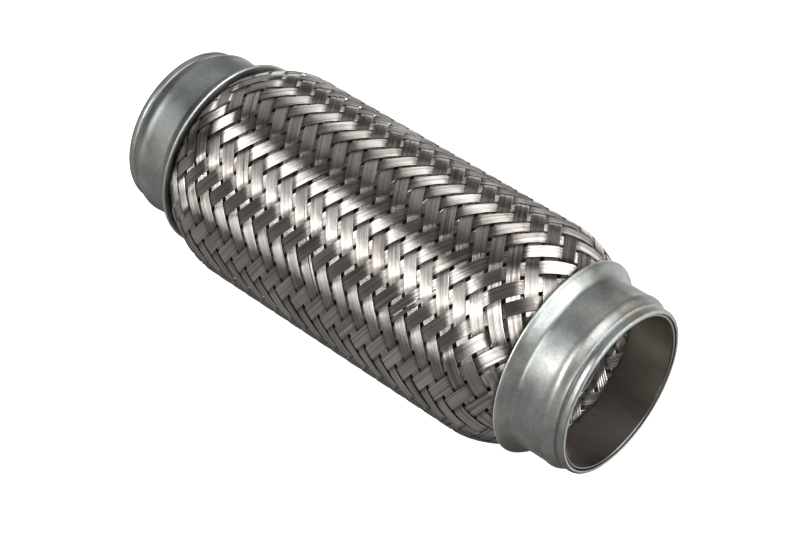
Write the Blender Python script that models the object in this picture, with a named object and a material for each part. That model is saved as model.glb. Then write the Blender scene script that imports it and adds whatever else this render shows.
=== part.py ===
"""Braided flexible coupling for a 55 mm exhaust pipe, 200 mm long over its two ends.

The joint lies along X with its middle at the origin: the inlet end is at -X and the outlet
end at +X.  From outside to inside each end clamps five layers on one another:
end cap, outer braid, bellows cuff, inner braid and inner sleeve.

The flexible middle is modelled as a chain of short stiff rings.  Eleven joints hold the
chain together, each in its own gap between two rings, and every ring carries a piece of the
outer braid, of the bellows (two convolutions) and of the inner braid.

Every piece is a turned ring.  A profile is a list of (x, radius) points, and a radius is
measured to the middle of a facet, so that nested rings keep the same gap all the way round.
"""

import math

import bmesh
import bpy

# Whole joint
LENGTH = 0.200
HALF_LENGTH = LENGTH / 2
SIDES = 24                  # facets round a cap, sleeve or braid: one lies flat on the floor
BELLOWS_SIDES = 16

# Joints of the chain, from the inlet to the outlet: Y and Z bend, X slides along the pipe
JOINT_KINDS = "YZXYZXZYXZY"
JOINT_PITCH = 0.0144
HINGE_GAP = 0.0025          # leaves room for 3 degrees at the braid's radius
SLIDE_GAP = 0.0030          # leaves room for 2.7 mm of compression

# Inner sleeve: its bore is the pipe size
BORE_RADIUS = 0.0275
SLEEVE_WALL = 0.0010
SLEEVE_RECESS = 0.0003      # the sleeve stops just short of the cap's end face
SLEEVE_END = 0.0195         # depth of its inner end, measured from the mouth

# Layers under the collar, each one above the last with a gap between them
LAYER_GAP = 0.00015
CLAMPED_WALL = 0.0004
INNER_BRAID_RADIUS = BORE_RADIUS + SLEEVE_WALL + LAYER_GAP + CLAMPED_WALL
CUFF_RADIUS = INNER_BRAID_RADIUS + LAYER_GAP + CLAMPED_WALL
BRAID_END_RADIUS = CUFF_RADIUS + LAYER_GAP + CLAMPED_WALL

# End cap: lip, collar and skirt, outside radii
CAP_WALL = 0.00105
LIP_RADIUS = 0.0297
LIP_LENGTH = 0.0025
LIP_RISE = 0.0003           # the lip widens by this much over its length
LIP_GROOVE = 0.0006         # length and rise of the step behind the lip
COLLAR_RADIUS = BRAID_END_RADIUS + LAYER_GAP + CAP_WALL
COLLAR_START = 0.0085
COLLAR_END = 0.0180
COLLAR_BEAD = 0.00025       # the collar's front edge stands this much proud
COLLAR_BEAD_LENGTH = 0.0030
SKIRT_RADIUS = 0.0354
SKIRT_END = 0.0243
SKIRT_CURVE = ((0.0026, 0.24), (0.0042, 0.75), (0.0053, 0.98))  # (depth past the collar, share of its rise)

# Outer braid
BRAID_RADIUS = 0.0397
BRAID_WALL = 0.0008
BRAID_CLAMP_START = 0.0080  # depth at which the clamped braid begins
BRAID_NECK_CURVE = ((0.0015, 0.0), (0.0034, 0.40), (0.0050, 1.11))  # as SKIRT_CURVE, up to the neck
NECK_RADIUS = 0.0329
SHOULDER_START = 0.0220
SHOULDER_END = 0.0440
SHOULDER_STEPS = 4

# Bellows
BELLOWS_WALL = 0.0005
ROOT_RADIUS = 0.0312
CREST_RADIUS = 0.0368
CREST_CLEARANCE = 0.0010    # between a crest and the braid above it
CONVOLUTION_PITCH = JOINT_PITCH / 2
CREST_HALF_WIDTH = 0.0008
ROOT_HALF_WIDTH = 0.0012
CUFF_START = 0.0100
CUFF_STRAIGHT_END = 0.0215
CUFF_CREST_RADIUS = 0.0332
CUFF_CREST_DEPTH = 0.0250

# Inner braid of the flexible rings: wider than the sleeve, whose tail moves inside it
LINER_RADIUS = 0.0295
LINER_WALL = 0.0006

# Colours are linear RGB
CAP_COLOUR = (0.33, 0.36, 0.36)
SLEEVE_COLOUR = (0.25, 0.23, 0.21)
BELLOWS_COLOUR = (0.42, 0.40, 0.38)
BRAID_COLOUR = (0.52, 0.49, 0.46)


def clear_scene():
    """Remove whatever the file holds before the model is made."""
    for item in list(bpy.data.objects):
        bpy.data.objects.remove(item, do_unlink=True)


def metal(name, colour, roughness):
    """A plain metal with the given colour and roughness."""
    material = bpy.data.materials.new(name)
    material.use_nodes = True
    shader = material.node_tree.nodes["Principled BSDF"]
    shader.inputs["Base Color"].default_value = (*colour, 1.0)
    shader.inputs["Metallic"].default_value = 1.0
    shader.inputs["Roughness"].default_value = roughness
    return material


def unit_normal(start, end):
    """Outward normal of a profile line that runs towards +X."""
    along = end[0] - start[0]
    rise = end[1] - start[1]
    length = math.hypot(along, rise)
    return (-rise / length, along / length)


def inner_side(profile, wall):
    """The profile moved inwards by the wall's thickness, square at its two ends."""
    moved = []
    last = len(profile) - 1
    for index, (x, radius) in enumerate(profile):
        if index in (0, last):
            moved.append((x, radius - wall))
            continue
        before = unit_normal(profile[index - 1], profile[index])
        after = unit_normal(profile[index], profile[index + 1])
        bisector = (before[0] + after[0], before[1] + after[1])
        scale = 2 * wall / (bisector[0] ** 2 + bisector[1] ** 2)
        moved.append((x - bisector[0] * scale, radius - bisector[1] * scale))
    return moved


def sheet_section(profile, wall):
    """Closed section of a sheet-metal ring, from its outer profile and its thickness."""
    return profile + inner_side(profile, wall)[::-1]


def tube_section(start, end, outer_radius, wall):
    """Closed section of a plain tube between two places on X."""
    return sheet_section([(start, outer_radius), (end, outer_radius)], wall)


def turned_ring(name, section, origin_x, material, parent, sides=SIDES):
    """Spin a closed section about X into a ring whose origin is at origin_x on the axis."""
    half_step = math.pi / sides
    shape = bmesh.new()
    corners = []
    for x, radius in section:
        reach = radius / math.cos(half_step)
        place = (x - origin_x, reach * math.sin(half_step), -reach * math.cos(half_step))
        corners.append(shape.verts.new(place))
    edges = [shape.edges.new((corners[i - 1], corners[i])) for i in range(len(corners))]
    bmesh.ops.spin(
        shape,
        geom=corners + edges,
        cent=(0.0, 0.0, 0.0),
        axis=(1.0, 0.0, 0.0),
        angle=math.tau,
        steps=sides,
        use_merge=True,
    )
    bmesh.ops.remove_doubles(shape, verts=shape.verts, dist=1e-6)
    bmesh.ops.recalc_face_normals(shape, faces=shape.faces)
    mesh = bpy.data.meshes.new(name)
    shape.to_mesh(mesh)
    shape.free()
    mesh.shade_smooth()
    mesh.set_sharp_from_angle(angle=math.radians(40))
    mesh.materials.append(material)
    ring = bpy.data.objects.new(name, mesh)
    bpy.context.collection.objects.link(ring)
    ring.parent = parent
    return ring


def joint_x(number):
    """Place of a joint on the pipe's axis; the middle joint is at the origin."""
    return (number - len(JOINT_KINDS) // 2) * JOINT_PITCH


def half_gap(number):
    """Half of the gap that is left open at a joint."""
    gap = SLIDE_GAP if JOINT_KINDS[number] == "X" else HINGE_GAP
    return gap / 2


def braid_radius(x):
    """Outside radius of the outer braid, which swells from its neck into a straight tube."""
    depth = HALF_LENGTH - abs(x)
    if depth >= SHOULDER_END:
        return BRAID_RADIUS
    share = (depth - SHOULDER_START) / (SHOULDER_END - SHOULDER_START)
    return NECK_RADIUS + (BRAID_RADIUS - NECK_RADIUS) * math.sin(share * math.pi / 2)


def crest_radius(x):
    """Radius of a convolution's crest, lower where the braid above it narrows."""
    return min(CREST_RADIUS, braid_radius(x) - BRAID_WALL - CREST_CLEARANCE)


def cap_profile():
    """Outside of an end cap as (depth from the mouth, radius): lip, collar and skirt."""
    lip_edge = LIP_RADIUS + LIP_RISE
    profile = [
        (0.0, LIP_RADIUS),
        (LIP_LENGTH, lip_edge),
        (LIP_LENGTH + LIP_GROOVE, lip_edge + LIP_GROOVE / 2),
        (COLLAR_START - COLLAR_BEAD_LENGTH, COLLAR_RADIUS),
        (COLLAR_START - COLLAR_BEAD_LENGTH / 2, COLLAR_RADIUS + COLLAR_BEAD),
        (COLLAR_START, COLLAR_RADIUS),
        (COLLAR_END, COLLAR_RADIUS),
    ]
    for past_collar, share in SKIRT_CURVE:
        rise = share * (SKIRT_RADIUS - COLLAR_RADIUS)
        profile.append((COLLAR_END + past_collar, COLLAR_RADIUS + rise))
    profile.append((SKIRT_END, SKIRT_RADIUS))
    return profile


def braid_end_profile(end_depth):
    """Outside of the clamped braid: straight under the collar, then up inside the skirt."""
    profile = [(BRAID_CLAMP_START, BRAID_END_RADIUS)]
    for past_collar, share in BRAID_NECK_CURVE:
        rise = share * (NECK_RADIUS - BRAID_END_RADIUS)
        profile.append((COLLAR_END + past_collar, BRAID_END_RADIUS + rise))
    for depth in (SKIRT_END, end_depth):
        profile.append((depth, braid_radius(HALF_LENGTH - depth)))
    return profile


def cuff_profile(end_depth):
    """Outside of the bellows' cuff with its first, lower convolution."""
    return [
        (CUFF_START, CUFF_RADIUS),
        (CUFF_STRAIGHT_END, CUFF_RADIUS),
        (CUFF_CREST_DEPTH - CREST_HALF_WIDTH, CUFF_CREST_RADIUS),
        (CUFF_CREST_DEPTH + CREST_HALF_WIDTH, CUFF_CREST_RADIUS),
        (end_depth, ROOT_RADIUS),
    ]


def at_end(profile, side):
    """Turn (depth, radius) points into (x, radius) points at one end, in +X order."""
    placed = [(side * (HALF_LENGTH - depth), radius) for depth, radius in profile]
    return sorted(placed)


def end_pieces(end_name, side, joint_number, parent, materials):
    """Cap, sleeve, cuff and the two clamped braid ends of one end of the pipe."""
    gap_edge = HALF_LENGTH - abs(joint_x(joint_number)) - half_gap(joint_number)
    sleeve = [
        (SLEEVE_RECESS, BORE_RADIUS + SLEEVE_WALL),
        (SLEEVE_END, BORE_RADIUS + SLEEVE_WALL),
    ]
    inner_braid = [
        (BRAID_CLAMP_START, INNER_BRAID_RADIUS),
        (gap_edge, INNER_BRAID_RADIUS),
    ]
    pieces = [
        ("end_cap", cap_profile(), CAP_WALL, "cap"),
        ("outer_braid_end", braid_end_profile(gap_edge), CLAMPED_WALL, "braid"),
        ("bellows_cuff", cuff_profile(gap_edge), CLAMPED_WALL, "bellows"),
        ("inner_braid_end", inner_braid, CLAMPED_WALL, "braid"),
        ("inner_sleeve", sleeve, SLEEVE_WALL, "sleeve"),
    ]
    for name, profile, wall, material in pieces:
        section = sheet_section(at_end(profile, side), wall)
        origin_x = parent.matrix_world.translation.x
        turned_ring(f"{end_name}_{name}", section, origin_x, materials[material], parent)


def braid_segment_profile(start, end):
    """Outside of a piece of the outer braid: two points where it is straight."""
    depth = HALF_LENGTH - max(abs(start), abs(end))
    steps = SHOULDER_STEPS if depth < SHOULDER_END else 1
    places = [start + (end - start) * step / steps for step in range(steps + 1)]
    return [(x, braid_radius(x)) for x in places]


def bellows_segment_profile(start, end):
    """Outside of two convolutions, cut off at the roots on both sides."""
    middle = (start + end) / 2
    profile = [(start, ROOT_RADIUS)]
    for side in (-1, 1):
        crest = middle + side * CONVOLUTION_PITCH / 2
        radius = crest_radius(crest)
        profile.append((crest - CREST_HALF_WIDTH, radius))
        profile.append((crest + CREST_HALF_WIDTH, radius))
        if side == -1:
            profile.append((middle - ROOT_HALF_WIDTH, ROOT_RADIUS))
            profile.append((middle + ROOT_HALF_WIDTH, ROOT_RADIUS))
    profile.append((end, ROOT_RADIUS))
    return profile


def flexible_pieces(number, parent, materials):
    """The three nested pieces of one stiff ring of the chain, counted from 1."""
    start = joint_x(number - 1) + half_gap(number - 1)
    end = joint_x(number) - half_gap(number)
    origin_x = joint_x(number - 1)
    suffix = f"segment_{number:02d}"
    braid = sheet_section(braid_segment_profile(start, end), BRAID_WALL)
    turned_ring(f"outer_braid_{suffix}", braid, origin_x, materials["braid"], parent)
    bellows = sheet_section(bellows_segment_profile(start, end), BELLOWS_WALL)
    turned_ring(f"bellows_{suffix}", bellows, origin_x, materials["bellows"], parent, BELLOWS_SIDES)
    liner = tube_section(start, end, LINER_RADIUS, LINER_WALL)
    turned_ring(f"inner_braid_{suffix}", liner, origin_x, materials["braid"], parent)


def chain_axes():
    """One empty for each body: the first at the inlet's mouth, the others at their joints."""
    places = [-HALF_LENGTH] + [joint_x(number) for number in range(len(JOINT_KINDS))]
    axes = []
    for number, x in enumerate(places):
        axis = bpy.data.objects.new(f"axis_{number:02d}", None)
        bpy.context.collection.objects.link(axis)
        if axes:
            axis.parent = axes[-1]
            axis.location.x = x - places[number - 1]
        else:
            axis.location.x = x
        axes.append(axis)
    bpy.context.view_layer.update()
    return axes


def main():
    """Build the coupling: inlet end, the chain of rings, outlet end."""
    clear_scene()
    materials = {
        "cap": metal("zinc_steel", CAP_COLOUR, 0.38),
        "sleeve": metal("sleeve_steel", SLEEVE_COLOUR, 0.45),
        "bellows": metal("bellows_steel", BELLOWS_COLOUR, 0.30),
        "braid": metal("braid_wire", BRAID_COLOUR, 0.32),
    }
    axes = chain_axes()
    last_joint = len(JOINT_KINDS) - 1
    end_pieces("inlet", -1, 0, axes[0], materials)
    for number in range(1, last_joint + 1):
        flexible_pieces(number, axes[number], materials)
    end_pieces("outlet", 1, last_joint, axes[-1], materials)
    bpy.context.view_layer.update()


main()
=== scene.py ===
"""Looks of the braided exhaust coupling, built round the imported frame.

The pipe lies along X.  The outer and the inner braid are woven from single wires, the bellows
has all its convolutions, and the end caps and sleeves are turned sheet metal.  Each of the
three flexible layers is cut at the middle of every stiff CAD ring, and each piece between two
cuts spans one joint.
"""

import math

import bpy
import numpy as np
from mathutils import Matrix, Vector


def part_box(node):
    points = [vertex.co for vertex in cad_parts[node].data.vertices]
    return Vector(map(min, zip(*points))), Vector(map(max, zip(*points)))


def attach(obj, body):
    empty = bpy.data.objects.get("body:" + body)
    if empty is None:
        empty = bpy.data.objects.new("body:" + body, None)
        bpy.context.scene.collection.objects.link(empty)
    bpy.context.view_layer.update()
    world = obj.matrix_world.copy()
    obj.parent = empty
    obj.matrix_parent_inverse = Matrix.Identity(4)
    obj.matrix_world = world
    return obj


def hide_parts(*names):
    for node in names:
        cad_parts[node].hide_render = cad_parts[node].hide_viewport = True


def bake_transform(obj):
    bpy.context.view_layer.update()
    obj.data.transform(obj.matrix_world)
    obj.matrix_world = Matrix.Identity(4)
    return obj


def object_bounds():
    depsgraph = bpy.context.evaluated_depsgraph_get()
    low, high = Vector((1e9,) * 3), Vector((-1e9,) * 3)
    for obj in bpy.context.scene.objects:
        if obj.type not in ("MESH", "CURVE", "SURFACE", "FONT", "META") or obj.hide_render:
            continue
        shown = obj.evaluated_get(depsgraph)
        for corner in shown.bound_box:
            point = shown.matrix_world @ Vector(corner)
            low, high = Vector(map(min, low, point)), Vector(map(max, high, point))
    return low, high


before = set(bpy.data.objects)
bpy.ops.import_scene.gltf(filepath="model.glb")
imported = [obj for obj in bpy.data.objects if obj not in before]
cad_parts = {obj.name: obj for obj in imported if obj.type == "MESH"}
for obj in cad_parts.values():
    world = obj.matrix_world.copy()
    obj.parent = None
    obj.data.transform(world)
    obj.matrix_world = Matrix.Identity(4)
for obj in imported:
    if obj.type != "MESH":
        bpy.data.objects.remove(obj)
CAD_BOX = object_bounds()

MM = 0.001

# Places taken from the frame
HALF_LENGTH = CAD_BOX[1].x
BRAID_RADIUS = CAD_BOX[1].z
FLOOR_HEIGHT = CAD_BOX[0].z
SLEEVE_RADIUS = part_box("outlet_inner_sleeve")[1].z
BORE_RADIUS = SLEEVE_RADIUS - 1.0 * MM
SKIRT_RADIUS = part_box("outlet_end_cap")[1].z
SKIRT_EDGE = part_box("outlet_end_cap")[0].x
SKIRT_LENGTH = HALF_LENGTH - SKIRT_EDGE
SLEEVE_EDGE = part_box("outlet_inner_sleeve")[0].x
INNER_BRAID_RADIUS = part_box("inner_braid_segment_05")[1].z
CREST_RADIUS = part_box("bellows_segment_05")[1].z

# Bodies of the chain, from the inlet to the outlet, and the cuts between the visual pieces
CHAIN = ["inlet_end"] + [f"flex_{number:02d}" for number in range(1, 11)] + ["outlet_end"]
JOINT_PITCH = 14.4 * MM
FIRST_CUT = -4.5 * JOINT_PITCH
BRAID_START = FIRST_CUT - JOINT_PITCH
PIECE_COUNT = len(CHAIN) - 1

# Woven layers
RIBBONS = 24                # in each direction
WIRES = 10                  # in each ribbon of the outer braid
LINER_WIRES = 5             # in each ribbon of the inner braid
STATIONS_PER_PIECE = 24
RIBBON_STEP = 6.91 * MM     # along the axis, between two ribbons of one direction
RIGHT_PHASE = 0.111         # shares of a ribbon's place round the pipe
LEFT_PHASE = 0.081
COVER = 0.75                # share of the surface that the ribbons of one direction cover
OVER_CENTRE = 1.5           # column in the middle of a pair that the right-hand ribbons cross over
WAVE = 0.21 * MM            # height of a ribbon's wave over and under the others
STEEPNESS = 4.0             # how sharply a ribbon passes from over to under
LINER_TAIL = 8              # stations of the inner braid that reach over a sleeve
WIRE_BELOW = 0.07 * MM
WIRE_ABOVE = 0.11 * MM
WIRE_TILT = math.radians(45)  # how far the surface of a wire turns from its crest to its edge
RIBBON_SWAY = 0.012         # shares of a ribbon's place
WIRE_SWAY = 0.005
WIRE_OVERLAP = 1.02         # width of a wire over its share of the ribbon
MIDDLE_TONE = 0.66          # tone of a wire, where 1 is the brightest
TONE_SPREAD = 0.12          # between wires
TONE_DRIFT = 0.06           # along a wire
RIBBON_SPREAD = 0.07        # between ribbons
PAINTED_TURN_SHADE = 0.75           # painted shade: how much darker a ribbon is painted where it turns under another

# Inner braid
LINER_WAVE = 0.16 * MM
LINER_BELOW = 0.04 * MM
LINER_ABOVE = 0.10 * MM
LINER_BULGE = 0.9 * MM      # how far it swells in beyond the sleeve
LINER_BULGE_DEPTH = 21.8 * MM

# Shoulders of the braid, as depths from the mouth
NECK_RADIUS = 31.4 * MM
SHOULDER_START = 22.0 * MM
SHOULDER_END = 44.0 * MM
NECK_DEPTHS = [19.0 * MM, 21.4 * MM, 23.0 * MM, 24.3 * MM]
NECK_RADII = [30.3 * MM, 31.0 * MM, 31.9 * MM, 32.6 * MM]

# End caps, as depths from the mouth
LIP_RADIUS = 30.05 * MM
LIP_LENGTH = 2.8 * MM
GROOVE_RADIUS = 29.35 * MM
MOUTH_INSIDE = SLEEVE_RADIUS + 0.15 * MM
COLLAR_RADIUS = 31.4 * MM
STEP_RISE = 0.75 * MM       # sharp first part of the rise from the groove to the collar
RISE_END = 7.0 * MM
BEAD_DEPTH = 7.4 * MM
BEAD_HEIGHT = 0.25 * MM
FLARE_START = 18.4 * MM
FLARE_END = 23.6 * MM
RIM_DEPTH = 23.75 * MM
RIM_HEIGHT = 0.3 * MM
RIM_ROUNDING = 0.4 * MM
CAP_WALL = 1.0 * MM

# Sleeves
MOUTH_RECESS = 0.3 * MM     # from the lip's end to the sleeve's
MOUTH_TONE = 0.35           # the rounded end is darker than the bore
INNER_END = 1.6 * MM        # how much shorter the sleeve is than its CAD node

# Bellows
ROOT_RADIUS = 31.0 * MM
CUFF_RADIUS = 29.6 * MM
CUFF_TAIL = 4.6 * MM
BELLOWS_WALL = 0.4 * MM
CREST_GAP = 2.0 * MM        # from a crest to the outside of the outer braid

# Stage, in metres
SOFTBOX_DISTANCE = 1.2
FLOOR_FLAT = 3.0            # radius of the flat part of the floor
WALL_BEND = 3.0
WALL_HEIGHT = 8.0
CAMERA_LENS = 95.97         # millimetres, on a 36 mm sensor
CAMERA_PLACE = (0.3664, -0.3964, 0.4909)
CAMERA_AZIMUTH = math.radians(42.43)
CAMERA_ELEVATION = math.radians(42.705)

random = np.random.default_rng(55)


# ---------------------------------------------------------------- mesh helpers


def mesh_object(
    name, points, quads, triangles=(), tones=None, across=None, normals=None, material=None
):
    """A mesh of smooth quads and flat triangles, with an own normal at each corner if given.

    tones and across are written on the points, for the materials to read.
    """
    quads = np.asarray(quads, np.int32).reshape(-1, 4)
    triangles = np.asarray(triangles, np.int32).reshape(-1, 3)
    mesh = bpy.data.meshes.new(name)
    mesh.vertices.add(len(points))
    mesh.vertices.foreach_set("co", np.asarray(points, np.float32).ravel())
    corners = np.concatenate([quads.ravel(), triangles.ravel()])
    mesh.loops.add(len(corners))
    mesh.loops.foreach_set("vertex_index", corners)
    sizes = np.concatenate([np.full(len(quads), 4), np.full(len(triangles), 3)])
    starts = np.concatenate([[0], np.cumsum(sizes)[:-1]])
    mesh.polygons.add(len(sizes))
    mesh.polygons.foreach_set("loop_start", starts.astype(np.int32))
    mesh.polygons.foreach_set("loop_total", sizes.astype(np.int32))
    mesh.polygons.foreach_set("use_smooth", (sizes == 4) | (normals is not None))
    mesh.update(calc_edges=True)
    if normals is not None:
        mesh.normals_split_custom_set(np.asarray(normals, np.float32))
    if tones is not None:
        layer = mesh.attributes.new("tone", "FLOAT", "POINT")
        layer.data.foreach_set("value", np.asarray(tones, np.float32).ravel())
    if across is not None:
        layer = mesh.attributes.new("across", "FLOAT_VECTOR", "POINT")
        layer.data.foreach_set("vector", np.asarray(across, np.float32).ravel())
    if material:
        mesh.materials.append(material)
    made = bpy.data.objects.new(name, mesh)
    bpy.context.scene.collection.objects.link(made)
    return made


def turned(name, profile, sides, material, shift=0.0, tones=None):
    """Turn a closed profile of (x, radius) points about X; shift moves points along X."""
    profile = np.asarray(profile)
    count = len(profile)
    angle = np.arange(sides)[:, None] * math.tau / sides
    x = np.broadcast_to(profile[None, :, 0] + shift, (sides, count))
    radius = profile[None, :, 1]
    points = np.stack([x, np.cos(angle) * radius, np.sin(angle) * radius], 2)
    here = np.arange(sides)[:, None] * count + np.arange(count)[None, :]
    along = np.roll(here, -1, 1)
    beside = np.roll(here, -1, 0)
    quads = np.stack([here, along, np.roll(along, -1, 0), beside], 2)
    if tones is not None:
        tones = np.tile(tones, sides)
    return mesh_object(name, points.reshape(-1, 3), quads, tones=tones, material=material)


def smooth(value, start, end):
    """0 before start, 1 after end, and a smooth rise between them."""
    share = np.clip((value - start) / (end - start), 0, 1)
    return share * share * (3 - 2 * share)


def hump(value, centre, reach):
    """A smooth hump of height 1."""
    return np.exp(-(((value - centre) / reach) ** 2))


def quarter(value, end):
    """Rises from 0 at 0 to 1 at end as a quarter of a circle."""
    return np.sqrt(np.clip(1 - (1 - np.clip(value / end, 0, 1)) ** 2, 0, 1))


# ---------------------------------------------------------------- materials


def new_material(name):
    """A metal, with its node tree and its shader."""
    material = bpy.data.materials.new(name)
    material.use_nodes = True
    tree = material.node_tree
    shader = tree.nodes["Principled BSDF"]
    shader.inputs["Metallic"].default_value = 1.0
    return material, tree, shader


def noise(tree, scale, detail=3.0, stretch=(1, 1, 1)):
    """A noise texture in object space, finer along the axes that stretch makes larger."""
    place = tree.nodes.new("ShaderNodeTexCoord")
    mapping = tree.nodes.new("ShaderNodeMapping")
    mapping.inputs["Scale"].default_value = stretch
    texture = tree.nodes.new("ShaderNodeTexNoise")
    texture.inputs["Scale"].default_value = scale
    texture.inputs["Detail"].default_value = detail
    tree.links.new(place.outputs["Object"], mapping.inputs["Vector"])
    tree.links.new(mapping.outputs["Vector"], texture.inputs["Vector"])
    return texture.outputs["Fac"]


def ramp(tree, value, stops):
    """A colour ramp over a value; stops are (place, grey or colour)."""
    node = tree.nodes.new("ShaderNodeValToRGB")
    elements = node.color_ramp.elements
    while len(elements) < len(stops):
        elements.new(0.5)
    for element, (place, colour) in zip(elements, stops):
        element.position = place
        colour = (colour,) * 3 if isinstance(colour, (int, float)) else colour
        element.color = (*colour, 1.0)
    tree.links.new(value, node.inputs["Fac"])
    return node.outputs["Color"]


def multiply(tree, first, second):
    """The product of two colours."""
    node = tree.nodes.new("ShaderNodeMix")
    node.data_type = "RGBA"
    node.blend_type = "MULTIPLY"
    node.inputs["Factor"].default_value = 1.0
    tree.links.new(first, node.inputs["A"])
    tree.links.new(second, node.inputs["B"])
    return node.outputs["Result"]


def lighten(tree, share, first, second):
    """A colour that turns into a second, fixed one as share grows from 0 to 1."""
    node = tree.nodes.new("ShaderNodeMix")
    node.data_type = "RGBA"
    tree.links.new(share, node.inputs["Factor"])
    tree.links.new(first, node.inputs["A"])
    node.inputs["B"].default_value = (*second, 1.0)
    return node.outputs["Result"]


def attribute(tree, name):
    """The node that reads an attribute of the mesh."""
    node = tree.nodes.new("ShaderNodeAttribute")
    node.attribute_name = name
    return node


def roughen(tree, shader, value, low, high):
    """Roughness between low and high as a noise value grows."""
    rough = ramp(tree, value, [(0.3, low), (0.7, high)])
    tree.links.new(rough, shader.inputs["Roughness"])


def bump(tree, shader, height, distance):
    """Bump from a height."""
    node = tree.nodes.new("ShaderNodeBump")
    node.inputs["Distance"].default_value = distance
    node.inputs["Strength"].default_value = 1.0
    tree.links.new(height, node.inputs["Height"])
    tree.links.new(node.outputs["Normal"], shader.inputs["Normal"])


def wire_material():
    """Bright drawn stainless wire: each wire has its own tone, with faint stains; the tone also
    holds painted shade where ribbons turn under each other and a painted shadow under the skirts.

    The drawn surface spreads light across the wire, so its gloss is stretched that way.
    """
    material, tree, shader = new_material("braid_wire")
    wire = ramp(tree, attribute(tree, "tone").outputs["Fac"], [
        (0.0, (0.04, 0.036, 0.032)),
        (0.35, (0.27, 0.245, 0.225)),
        (1.0, (0.63, 0.615, 0.595)),
    ])
    stain = ramp(tree, noise(tree, 60.0), [(0.3, (0.78, 0.755, 0.73)), (0.7, 1.0)])
    tree.links.new(multiply(tree, wire, stain), shader.inputs["Base Color"])
    roughen(tree, shader, noise(tree, 60.0), 0.28, 0.34)
    tree.links.new(attribute(tree, "across").outputs["Vector"], shader.inputs["Tangent"])
    shader.inputs["Anisotropic"].default_value = 1.0
    return material


def liner_material():
    """Wire of the inner braid, with an even gloss."""
    material, tree, shader = new_material("liner_wire")
    # the tone holds each wire's own tone and painted shade where ribbons turn under each other
    wire = ramp(tree, attribute(tree, "tone").outputs["Fac"], [
        (0.0, (0.10, 0.09, 0.08)),
        (1.0, (0.95, 0.92, 0.88)),
    ])
    tree.links.new(wire, shader.inputs["Base Color"])
    roughen(tree, shader, noise(tree, 60.0), 0.30, 0.38)
    return material


def cap_material():
    """Satin aluminised steel: cool grey with warm smudges, and a painted highlight along the skirt's
    rim.
    """
    material, tree, shader = new_material("cap_steel")
    cloud = ramp(tree, noise(tree, 50.0, 7.0), [
        (0.32, (0.25, 0.28, 0.28)),
        (0.52, (0.345, 0.36, 0.345)),
        (0.68, (0.47, 0.455, 0.41)),
    ])
    turning = ramp(tree, noise(tree, 90.0, 4.0, (9, 1, 1)), [(0.3, 0.90), (0.7, 1.0)])
    grain = ramp(tree, noise(tree, 1100.0, 2.0), [(0.3, 0.80), (0.7, 1.0)])
    colour = multiply(tree, multiply(tree, cloud, turning), grain)
    # painted highlight: the tone lightens the steel to near white along the skirt's rim
    painted_rim_highlight = attribute(tree, "tone").outputs["Fac"]
    colour = lighten(tree, painted_rim_highlight, colour, (0.95, 0.94, 0.90))
    tree.links.new(colour, shader.inputs["Base Color"])
    roughen(tree, shader, noise(tree, 110.0, 6.0), 0.36, 0.58)
    bump(tree, shader, noise(tree, 260.0, 8.0), 0.00006)
    return material


def sleeve_material():
    """Dull stainless tube, darker and brownish, and darkest where its tone is low."""
    material, tree, shader = new_material("sleeve_steel")
    stain = ramp(tree, noise(tree, 45.0, 4.0), [
        (0.3, (0.38, 0.34, 0.305)),
        (0.7, (0.52, 0.475, 0.43)),
    ])
    grain = ramp(tree, noise(tree, 120.0, 3.0, (1, 9, 9)), [(0.3, 0.86), (0.7, 1.0)])
    tone = attribute(tree, "tone").outputs["Color"]
    colour = multiply(tree, multiply(tree, stain, grain), tone)
    tree.links.new(colour, shader.inputs["Base Color"])
    roughen(tree, shader, noise(tree, 80.0), 0.28, 0.38)
    return material


def bellows_material():
    """Rolled stainless sheet with turning lines."""
    material, tree, shader = new_material("bellows_steel")
    grain = ramp(tree, noise(tree, 100.0, 3.0, (12, 1, 1)), [
        (0.3, (0.36, 0.34, 0.32)),
        (0.7, (0.50, 0.48, 0.46)),
    ])
    tree.links.new(grain, shader.inputs["Base Color"])
    roughen(tree, shader, noise(tree, 60.0), 0.26, 0.40)
    return material


# ---------------------------------------------------------------- woven layers


def smooth_noise(rows, x, wavelength):
    """A smooth random wave of x for each row, between about -1 and 1."""
    total = np.zeros((rows, len(x)))
    for octave in (1.0, 1.7, 2.9):
        phase = random.uniform(0, math.tau, (rows, 1))
        pace = random.uniform(0.8, 1.2, (rows, 1)) * octave * math.tau / wavelength
        total += np.sin(x[None, :] * pace + phase) / octave
    return total / 1.9


def braid_outside(x):
    """Outside radius of the outer braid: a straight tube that narrows into the two skirts."""
    depth = HALF_LENGTH - np.abs(x)
    share = np.clip((depth - SHOULDER_START) / (SHOULDER_END - SHOULDER_START), 0, 1)
    radius = NECK_RADIUS + (BRAID_RADIUS - NECK_RADIUS) * np.sin(share * math.pi / 2)
    under_skirt = np.interp(depth, NECK_DEPTHS, NECK_RADII)
    return np.where(depth < NECK_DEPTHS[-1], under_skirt, radius)


def liner_inside(x):
    """Middle radius of the inner braid: a tube round the sleeves that bulges in beyond them."""
    depth = HALF_LENGTH - np.abs(x)
    bulge = LINER_BULGE * hump(depth, LINER_BULGE_DEPTH, 1.9 * MM)
    return INNER_BRAID_RADIUS - 0.3 * MM - bulge


def split_shift(x):
    """How far each wire of one ribbon is pushed aside where the ribbon has parted."""
    shift = np.zeros((WIRES, len(x)))
    for _ in range(random.integers(0, 3)):
        first = random.integers(2, WIRES - 1)
        centre = random.uniform(x[0], x[-1])
        reach = random.uniform(6, 18) * MM
        gap = random.uniform(0.02, 0.09)
        bulge = np.exp(-(((x - centre) / reach) ** 2)) * gap
        side = np.where(np.arange(WIRES) >= first, 0.5, -0.5)
        shift += side[:, None] * bulge[None, :]
    return shift


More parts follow.
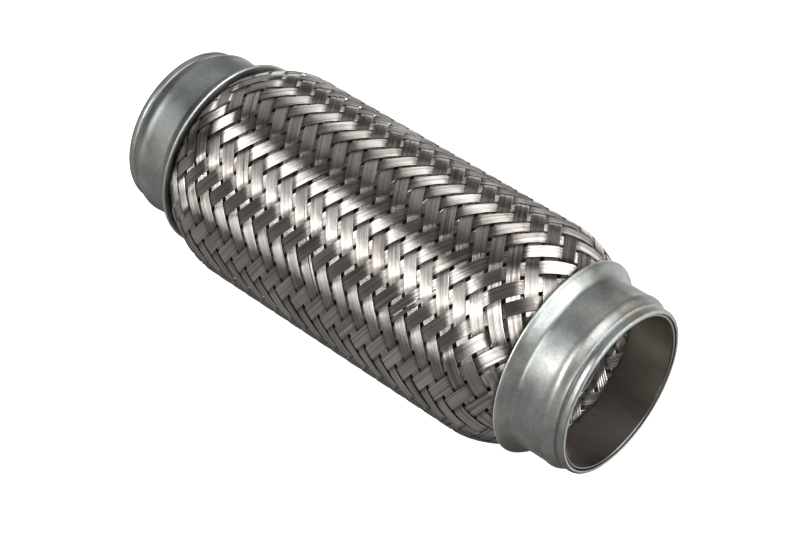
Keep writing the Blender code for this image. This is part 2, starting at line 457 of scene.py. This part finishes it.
def wire_angles(ribbon, wires, x):
    """Place of each wire of a ribbon round the pipe, as a share in the count of ribbons."""
    sway = RIBBON_SWAY * smooth_noise(1, x, 60 * MM)
    place = ribbon + (np.arange(wires)[:, None] - (wires - 1) / 2) * COVER / wires
    place = place + sway + WIRE_SWAY * smooth_noise(wires, x, 25 * MM)
    if wires == WIRES:
        place = place + split_shift(x)
    return place


def wire_tones(wires, x, swing, outward):
    """Tone of each wire: its own random tone, with painted shade where it turns under another ribbon
    and, outside, a painted shadow under a skirt.
    """
    drift = TONE_SPREAD * random.standard_normal((wires, 1))
    drift = drift + TONE_DRIFT * smooth_noise(wires, x, 40 * MM)
    tone = np.clip(MIDDLE_TONE + drift + random.normal(0, RIBBON_SPREAD), 0.35, 1)
    # painted shade: the ribbon is painted darker where it turns under another ribbon
    painted_turn_mask = hump(swing, -0.10, 0.22)
    depth = HALF_LENGTH - np.abs(x)
    # painted shadow: the outer braid is painted darker towards the skirt's rim, where it runs under
    # the skirt
    painted_skirt_shadow = 1 - smooth(depth, SKIRT_LENGTH + 0.5 * MM, SKIRT_LENGTH + 2.5 * MM)
    return tone * (1 - PAINTED_TURN_SHADE * painted_turn_mask) * (1 - painted_skirt_shadow * outward)


def wire_corners(x, middle, angle, spots):
    """The points of each wire's corners; spots are their turns and lifts off its middle."""
    corners = []
    for turn, lift in spots:
        reach = middle + lift
        corners.append(np.stack([
            np.broadcast_to(x, reach.shape),
            reach * np.cos(angle + turn),
            reach * np.sin(angle + turn),
        ], 2))
    return corners


def ribbon_wires(x, hand, wires, radius, wave, below, above, outward):
    """Corner points and tones of all wires of one direction, as [wire, station, corner, xyz].

    hand is 1 for ribbons that turn right-handed about X and -1 for the others.  A place on
    the braid is given by its share in the count of ribbons of each direction, so that the
    other direction's share says whether the ribbon passes over or under there.
    """
    own_phase = RIGHT_PHASE if hand == 1 else LEFT_PHASE
    other_phase = LEFT_PHASE if hand == 1 else RIGHT_PHASE
    ribbon_angle = math.tau / RIBBONS
    half = COVER / wires * ribbon_angle / 2 * WIRE_OVERLAP
    spots = [(-half, -below), (0.0, above), (half, -below)]
    if not outward:
        spots = [(turn, -lift) for turn, lift in spots[::-1]]
    corners, tones = [], []
    for ribbon in range(RIBBONS):
        own = wire_angles(ribbon, wires, x)
        angle = (own + own_phase) * ribbon_angle + hand * ribbon_angle / RIBBON_STEP * x[None, :]
        other = own + own_phase - other_phase + hand * 2 * x[None, :] / RIBBON_STEP
        swing = np.cos((ribbon + other - OVER_CENTRE) * math.pi / 2)
        height = hand * wave * np.tanh(STEEPNESS * swing) / math.tanh(STEEPNESS)
        height = height + 0.02 * MM * smooth_noise(wires, x, 18 * MM)
        corners += wire_corners(x, radius[None, :] + height, angle, spots)
        tones.append(wire_tones(wires, x, hand * swing, outward))
    corners = np.array(corners).reshape(RIBBONS, 3, wires, len(x), 3)
    corners = corners.transpose(0, 2, 3, 1, 4).reshape(RIBBONS * wires, len(x), 3, 3)
    return corners, np.array(tones).reshape(RIBBONS * wires, len(x))


def unit(vectors):
    """The same directions with length 1."""
    return vectors / np.linalg.norm(vectors, axis=-1, keepdims=True)


def wire_frames(corners):
    """Directions along, across and out of each wire at each station."""
    along = unit(np.gradient(corners.mean(2), axis=1))
    across = corners[:, :, 2] - corners[:, :, 0]
    across = unit(across - (across * along).sum(-1, keepdims=True) * along)
    out = corners[:, :, 1] - corners[:, :, 0]
    out = out - (out * along).sum(-1, keepdims=True) * along
    out = unit(out - (out * across).sum(-1, keepdims=True) * across)
    return along, across, out


def wire_mesh(name, corners, tones, frames, material):
    """Closed three-sided tubes along the wires, shaded as round wires."""
    wires, stations = corners.shape[:2]
    along, across, out = frames
    lean = math.cos(WIRE_TILT) * out
    side = math.sin(WIRE_TILT) * across
    edges = [lean - side, out, lean + side]
    first = np.arange(wires * stations * 3).reshape(wires, stations, 3)
    quads, normals = [], []
    for number, after in ((0, 1), (1, 2), (2, 0)):
        quads.append(np.stack([
            first[:, :-1, number],
            first[:, :-1, after],
            first[:, 1:, after],
            first[:, 1:, number],
        ], 2))
        here, there = (edges[number], edges[after]) if number < 2 else (-out, -out)
        normals.append(np.stack([here[:, :-1], there[:, :-1], there[:, 1:], here[:, 1:]], 2))
    ends = np.concatenate([first[:, 0, ::-1], first[:, -1, :]])
    end_normals = np.repeat(np.concatenate([-along[:, 0], along[:, -1]])[:, None], 3, 1)
    normals = np.concatenate([np.array(normals).reshape(-1, 3), end_normals.reshape(-1, 3)])
    tone = np.repeat(tones[:, :, None], 3, 2)
    sideways = np.repeat(across[:, :, None], 3, 2)
    points = corners.reshape(-1, 3)
    return mesh_object(name, points, np.array(quads), ends, tone, sideways, normals, material)


def piece_span(number):
    """First and last place on X of a piece of the chain."""
    return FIRST_CUT + (number - 1) * JOINT_PITCH, FIRST_CUT + number * JOINT_PITCH


def bend_piece(piece, number, slot, *nodes):
    """Bake a piece's placement into its mesh, and hide the CAD nodes that it stands for.
    """
    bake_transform(piece)
    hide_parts(*nodes)


def chain_nodes(number, layer, end_layer):
    """CAD nodes that a piece of a flexible layer stands for."""
    if number == 0:
        return [f"inlet_{end_layer}"]
    nodes = [f"{layer}_segment_{number:02d}"]
    if number == PIECE_COUNT - 1:
        nodes.append(f"outlet_{end_layer}")
    return nodes


def weave_layer(layer, end_layer, material, radius, tail, **wires):
    """All pieces of a woven layer, cut at the same stations; tail adds stations at both ends."""
    count = PIECE_COUNT * STATIONS_PER_PIECE + 1 + 2 * tail
    x = BRAID_START + (np.arange(count) - tail) * JOINT_PITCH / STATIONS_PER_PIECE
    halves = [ribbon_wires(x, hand, radius=radius(x), **wires) for hand in (1, -1)]
    corners = np.concatenate([half[0] for half in halves])
    tones = np.concatenate([half[1] for half in halves])
    frames = wire_frames(corners)
    cuts = [tail + number * STATIONS_PER_PIECE for number in range(PIECE_COUNT + 1)]
    cuts[0], cuts[-1] = 0, count - 1
    for number in range(PIECE_COUNT):
        span = slice(cuts[number], cuts[number + 1] + 1)
        here = [directions[:, span] for directions in frames]
        name = f"{layer}_{number:02d}"
        piece = wire_mesh(name, corners[:, span], tones[:, span], here, material)
        bend_piece(piece, number, "braid_wire", *chain_nodes(number, layer, end_layer))


# ---------------------------------------------------------------- turned layers


def sheet(x, radius, wall):
    """Closed section of a sheet, given its outer radius along x towards +X."""
    slope = np.gradient(radius, x)
    inside = radius - wall * np.sqrt(1 + slope**2)
    return np.concatenate([np.stack([x, radius], 1), np.stack([x, inside], 1)[::-1]])


def bellows_profile(number):
    """Closed section of one piece of the bellows: two convolutions, or a cuff at the ends."""
    start, end = piece_span(number)
    start -= CUFF_TAIL if number == 0 else 0
    end += CUFF_TAIL if number == PIECE_COUNT - 1 else 0
    x = np.linspace(start, end, 49)
    crest = np.minimum(CREST_RADIUS, braid_outside(x) - CREST_GAP)
    wave = 0.5 - 0.5 * np.cos((x - FIRST_CUT) / (JOINT_PITCH / 2) * math.tau)
    shape = np.tanh(2.2 * (wave - 0.5)) / math.tanh(1.1) / 2 + 0.5
    beyond_cuff = smooth(HALF_LENGTH - np.abs(x), 21.0 * MM, 24.5 * MM)
    base = CUFF_RADIUS + (ROOT_RADIUS - CUFF_RADIUS) * beyond_cuff
    return sheet(x, base + (crest - base) * shape * beyond_cuff, BELLOWS_WALL)


def build_bellows(material):
    """The bellows in pieces that meet at its roots."""
    for number in range(PIECE_COUNT):
        piece = turned(f"bellows_{number:02d}", bellows_profile(number), 72, material)
        bend_piece(piece, number, "bellows_steel", *chain_nodes(number, "bellows", "bellows_cuff"))


def cap_outside(depth):
    """Outside radius of an end cap: rolled lip, groove, collar with a bead, flared skirt."""
    half_lip = LIP_LENGTH / 2
    off_crown = np.abs((depth - half_lip) / (half_lip + 0.06 * MM))
    crown = np.clip(1 - off_crown**3, 0, 1) ** 0.6
    lip = GROOVE_RADIUS + (LIP_RADIUS - GROOVE_RADIUS) * crown
    step = STEP_RISE * smooth(depth, LIP_LENGTH + 0.1 * MM, LIP_LENGTH + 0.8 * MM)
    slope = COLLAR_RADIUS - GROOVE_RADIUS - STEP_RISE
    slope = slope * smooth(depth, LIP_LENGTH + 0.2 * MM, RISE_END)
    bead = BEAD_HEIGHT * hump(depth, BEAD_DEPTH, 1.5 * MM)
    share = np.clip((depth - FLARE_START) / (FLARE_END - FLARE_START), 0, 1) ** 1.1
    flare = (SKIRT_RADIUS - RIM_HEIGHT - COLLAR_RADIUS) * smooth(share, 0, 1)
    rim = RIM_HEIGHT * hump(depth, RIM_DEPTH, 0.40 * MM)
    rounding = RIM_ROUNDING * (1 - quarter(SKIRT_LENGTH - depth, RIM_ROUNDING))
    return lip + step + slope + bead + flare + rim - rounding


def build_cap(end, side, material):
    """End cap of one end.  Its tone is a painted highlight along the skirt's rim, weaker at the
    inlet.
    """
    depth = np.concatenate([
        np.linspace(0, 3.8, 58),
        np.linspace(4.0, 17.8, 36),
        np.linspace(18.0, 23.8, 30),
        (SKIRT_LENGTH - RIM_ROUNDING * np.linspace(1, 0, 9) ** 2) / MM,
    ]) * MM
    depth = np.unique(np.round(depth, 7))
    radius = cap_outside(depth)
    x = side * (HALF_LENGTH - depth)
    order = np.argsort(x)
    section = sheet(x[order], radius[order], CAP_WALL)
    count = len(depth)
    inner = section[count:]
    inner[:, 1] = np.clip(inner[:, 1], MOUTH_INSIDE, section[:count, 1][::-1] - 0.5 * MM)
    # painted highlight along the skirt's rim, weaker at the inlet than at the outlet
    rim_highlight_share = 0.3 if end == "inlet" else 1.0
    painted_rim_highlight = rim_highlight_share * hump(depth[order], SKIRT_LENGTH - 0.3 * MM, 0.4 * MM)
    cap = turned(f"{end}_cap", section, 192, material, tones=np.concatenate([painted_rim_highlight, 0 * painted_rim_highlight]))
    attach(cap, f"{end}_end")
    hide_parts(f"{end}_end_cap")


def sleeve_profile():
    """Closed section of the outlet's sleeve, and how many of its points belong to the mouth."""
    wall = SLEEVE_RADIUS - BORE_RADIUS
    bend = np.linspace(0, math.pi, 9)
    mouth = np.stack([wall / 2 * np.sin(bend), SLEEVE_RADIUS - wall / 2 * (1 - np.cos(bend))], 1)
    mouth = np.vstack([mouth, (-0.3 * MM, BORE_RADIUS)])
    inner = [(-1.0 * MM, 0.0), (-0.15 * MM, 0.0), (0.0, 0.12 * MM)]
    near = HALF_LENGTH - MOUTH_RECESS - wall / 2
    far = SLEEVE_EDGE + INNER_END
    profile = [(near + x, radius) for x, radius in mouth]
    profile += [(far - x, BORE_RADIUS + lift) for x, lift in inner]
    profile += [(far - x, SLEEVE_RADIUS - lift) for x, lift in inner[::-1]]
    return np.array(profile), len(mouth)


def rough_cut(sides):
    """How far the cut inner end of a sleeve strays along X at each place round the pipe."""
    place = np.arange(sides) / sides
    wander = smooth_noise(1, place, 0.21)[0]
    wander = wander - smooth_noise(1, place, 0.21)[0][0]
    cut = 0.8 * MM * wander * np.sin(place * math.pi) ** 0.3
    return cut + 0.12 * MM * random.standard_normal(sides)


def build_sleeve(end, side, material):
    """Inner sleeve: a thin tube with a rounded, darker mouth and a rough cut inner end."""
    profile, mouth_points = sleeve_profile()
    sides = 240
    shift = np.zeros((sides, len(profile)))
    shift[:, mouth_points:] = rough_cut(sides)[:, None]
    tones = np.ones(len(profile))
    tones[:mouth_points - 1] = MOUTH_TONE
    if side == -1:
        profile = profile[::-1] * (-1, 1)
        shift = -shift[:, ::-1]
        tones = tones[::-1]
    sleeve = turned(f"{end}_sleeve", profile[::-1], sides, material, shift[:, ::-1], tones[::-1])
    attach(sleeve, f"{end}_end")
    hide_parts(f"{end}_inner_sleeve")


def build_ends(cap_steel, sleeve_steel):
    """Caps and sleeves of both ends."""
    for end, side in (("inlet", -1), ("outlet", 1)):
        build_cap(end, side, cap_steel)
        build_sleeve(end, side, sleeve_steel)


# ---------------------------------------------------------------- stage


def floor_material():
    """Plain white that glows a little, so that only a faint shadow shows."""
    material, tree, shader = new_material("floor_white")
    shader.inputs["Metallic"].default_value = 0.0
    shader.inputs["Roughness"].default_value = 0.9
    shader.inputs["Base Color"].default_value = (0.8, 0.8, 0.8, 1.0)
    shader.inputs["Emission Color"].default_value = (1.0, 1.0, 1.0, 1.0)
    shader.inputs["Emission Strength"].default_value = 0.85
    return material


def build_floor():
    """A wide white floor that curves up into a round wall, which the steel doesn't mirror."""
    sides = 64
    bend = np.linspace(0, math.pi / 2, 13)
    radius = np.append(FLOOR_FLAT + WALL_BEND * np.sin(bend), FLOOR_FLAT + WALL_BEND)
    height = np.append(WALL_BEND * (1 - np.cos(bend)), WALL_HEIGHT)
    angle = np.arange(sides) * math.tau / sides
    rings = np.stack([
        np.outer(radius, np.cos(angle)),
        np.outer(radius, np.sin(angle)),
        np.outer(height, np.ones(sides)),
    ], 2)
    here = 1 + np.arange(sides) + sides * np.arange(len(radius))[:, None]
    beside = np.roll(here, -1, 1)
    quads = np.stack([here[:-1], here[1:], beside[1:], beside[:-1]], 2)
    disc = np.stack([np.zeros(sides), here[0], beside[0]], 1)
    points = np.concatenate([np.zeros((1, 3)), rings.reshape(-1, 3)])
    floor = mesh_object("floor", points, quads, disc, material=floor_material())
    floor.location.z = FLOOR_HEIGHT - 0.0001
    floor.visible_glossy = False
    floor.visible_diffuse = False
    floor.visible_shadow = False


def area_light(name, location, towards, width, height, radiance):
    """An area light that shines along a direction and that the camera doesn't see."""
    data = bpy.data.lights.new(name, "AREA")
    data.shape = "RECTANGLE"
    data.size = width
    data.size_y = height
    data.energy = math.pi * width * height * radiance
    lamp = bpy.data.objects.new(name, data)
    lamp.location = location
    lamp.rotation_mode = "QUATERNION"
    lamp.rotation_quaternion = towards.to_track_quat("-Z", "Y")
    lamp.visible_camera = False
    bpy.context.scene.collection.objects.link(lamp)


def softbox(name, azimuth, elevation, width, height, radiance):
    """A soft light that faces the middle of the pipe from a direction, in degrees."""
    turn, rise = math.radians(azimuth), math.radians(elevation)
    away = Vector((math.cos(rise) * math.cos(turn), math.cos(rise) * math.sin(turn), math.sin(rise)))
    area_light(name, away * SOFTBOX_DISTANCE, -away, width, height, radiance)


def build_lights():
    """Soft studio light from six boxes, the glow of the white table and a plain surrounding."""
    softbox("left_box", 256, 44, 0.50, 0.42, 14.0)
    softbox("left_fill", 274, 24, 0.60, 0.36, 7.0)
    softbox("right_box", 359, 35, 0.25, 0.76, 13.0)
    softbox("far_box", 30, 32, 0.28, 0.76, 14.0)
    softbox("top_box", 20, 69, 0.44, 0.36, 6.5)
    softbox("back_fill", 140, 45, 0.90, 0.90, 0.80)
    up = Vector((0, 0, 1))
    area_light("table_back", (0.0, 0.50, FLOOR_HEIGHT + 0.001), up, 1.6, 1.0, 1.4)
    area_light("table_front", (0.0, -0.39, FLOOR_HEIGHT + 0.001), up, 1.6, 0.7, 0.3)
    world = bpy.data.worlds.new("studio")
    world.use_nodes = True
    world.node_tree.nodes["Background"].inputs["Color"].default_value = (1.0, 0.98, 0.96, 1)
    world.node_tree.nodes["Background"].inputs["Strength"].default_value = 0.13
    bpy.context.scene.world = world
    bpy.context.scene.view_settings.view_transform = "Standard"


def build_camera():
    """A long lens above and in front of the outlet end."""
    data = bpy.data.cameras.new("camera")
    data.lens = CAMERA_LENS
    data.sensor_width = 36.0
    camera = bpy.data.objects.new("camera", data)
    camera.location = CAMERA_PLACE
    back = Vector((
        math.sin(CAMERA_AZIMUTH) * math.cos(CAMERA_ELEVATION),
        -math.cos(CAMERA_AZIMUTH) * math.cos(CAMERA_ELEVATION),
        math.sin(CAMERA_ELEVATION),
    ))
    camera.rotation_mode = "QUATERNION"
    camera.rotation_quaternion = back.to_track_quat("Z", "Y")
    bpy.context.scene.collection.objects.link(camera)
    bpy.context.scene.camera = camera


# ---------------------------------------------------------------- whole scene

build_camera()
weave_layer(
    "outer_braid", "outer_braid_end", wire_material(),
    lambda x: braid_outside(x) - WAVE - WIRE_ABOVE - 0.04 * MM, tail=0,
    wires=WIRES, wave=WAVE, below=WIRE_BELOW, above=WIRE_ABOVE, outward=True,
)
weave_layer(
    "inner_braid", "inner_braid_end", liner_material(), liner_inside, tail=LINER_TAIL,
    wires=LINER_WIRES, wave=LINER_WAVE, below=LINER_BELOW, above=LINER_ABOVE, outward=False,
)
build_bellows(bellows_material())
build_ends(cap_material(), sleeve_material())
build_floor()
build_lights()
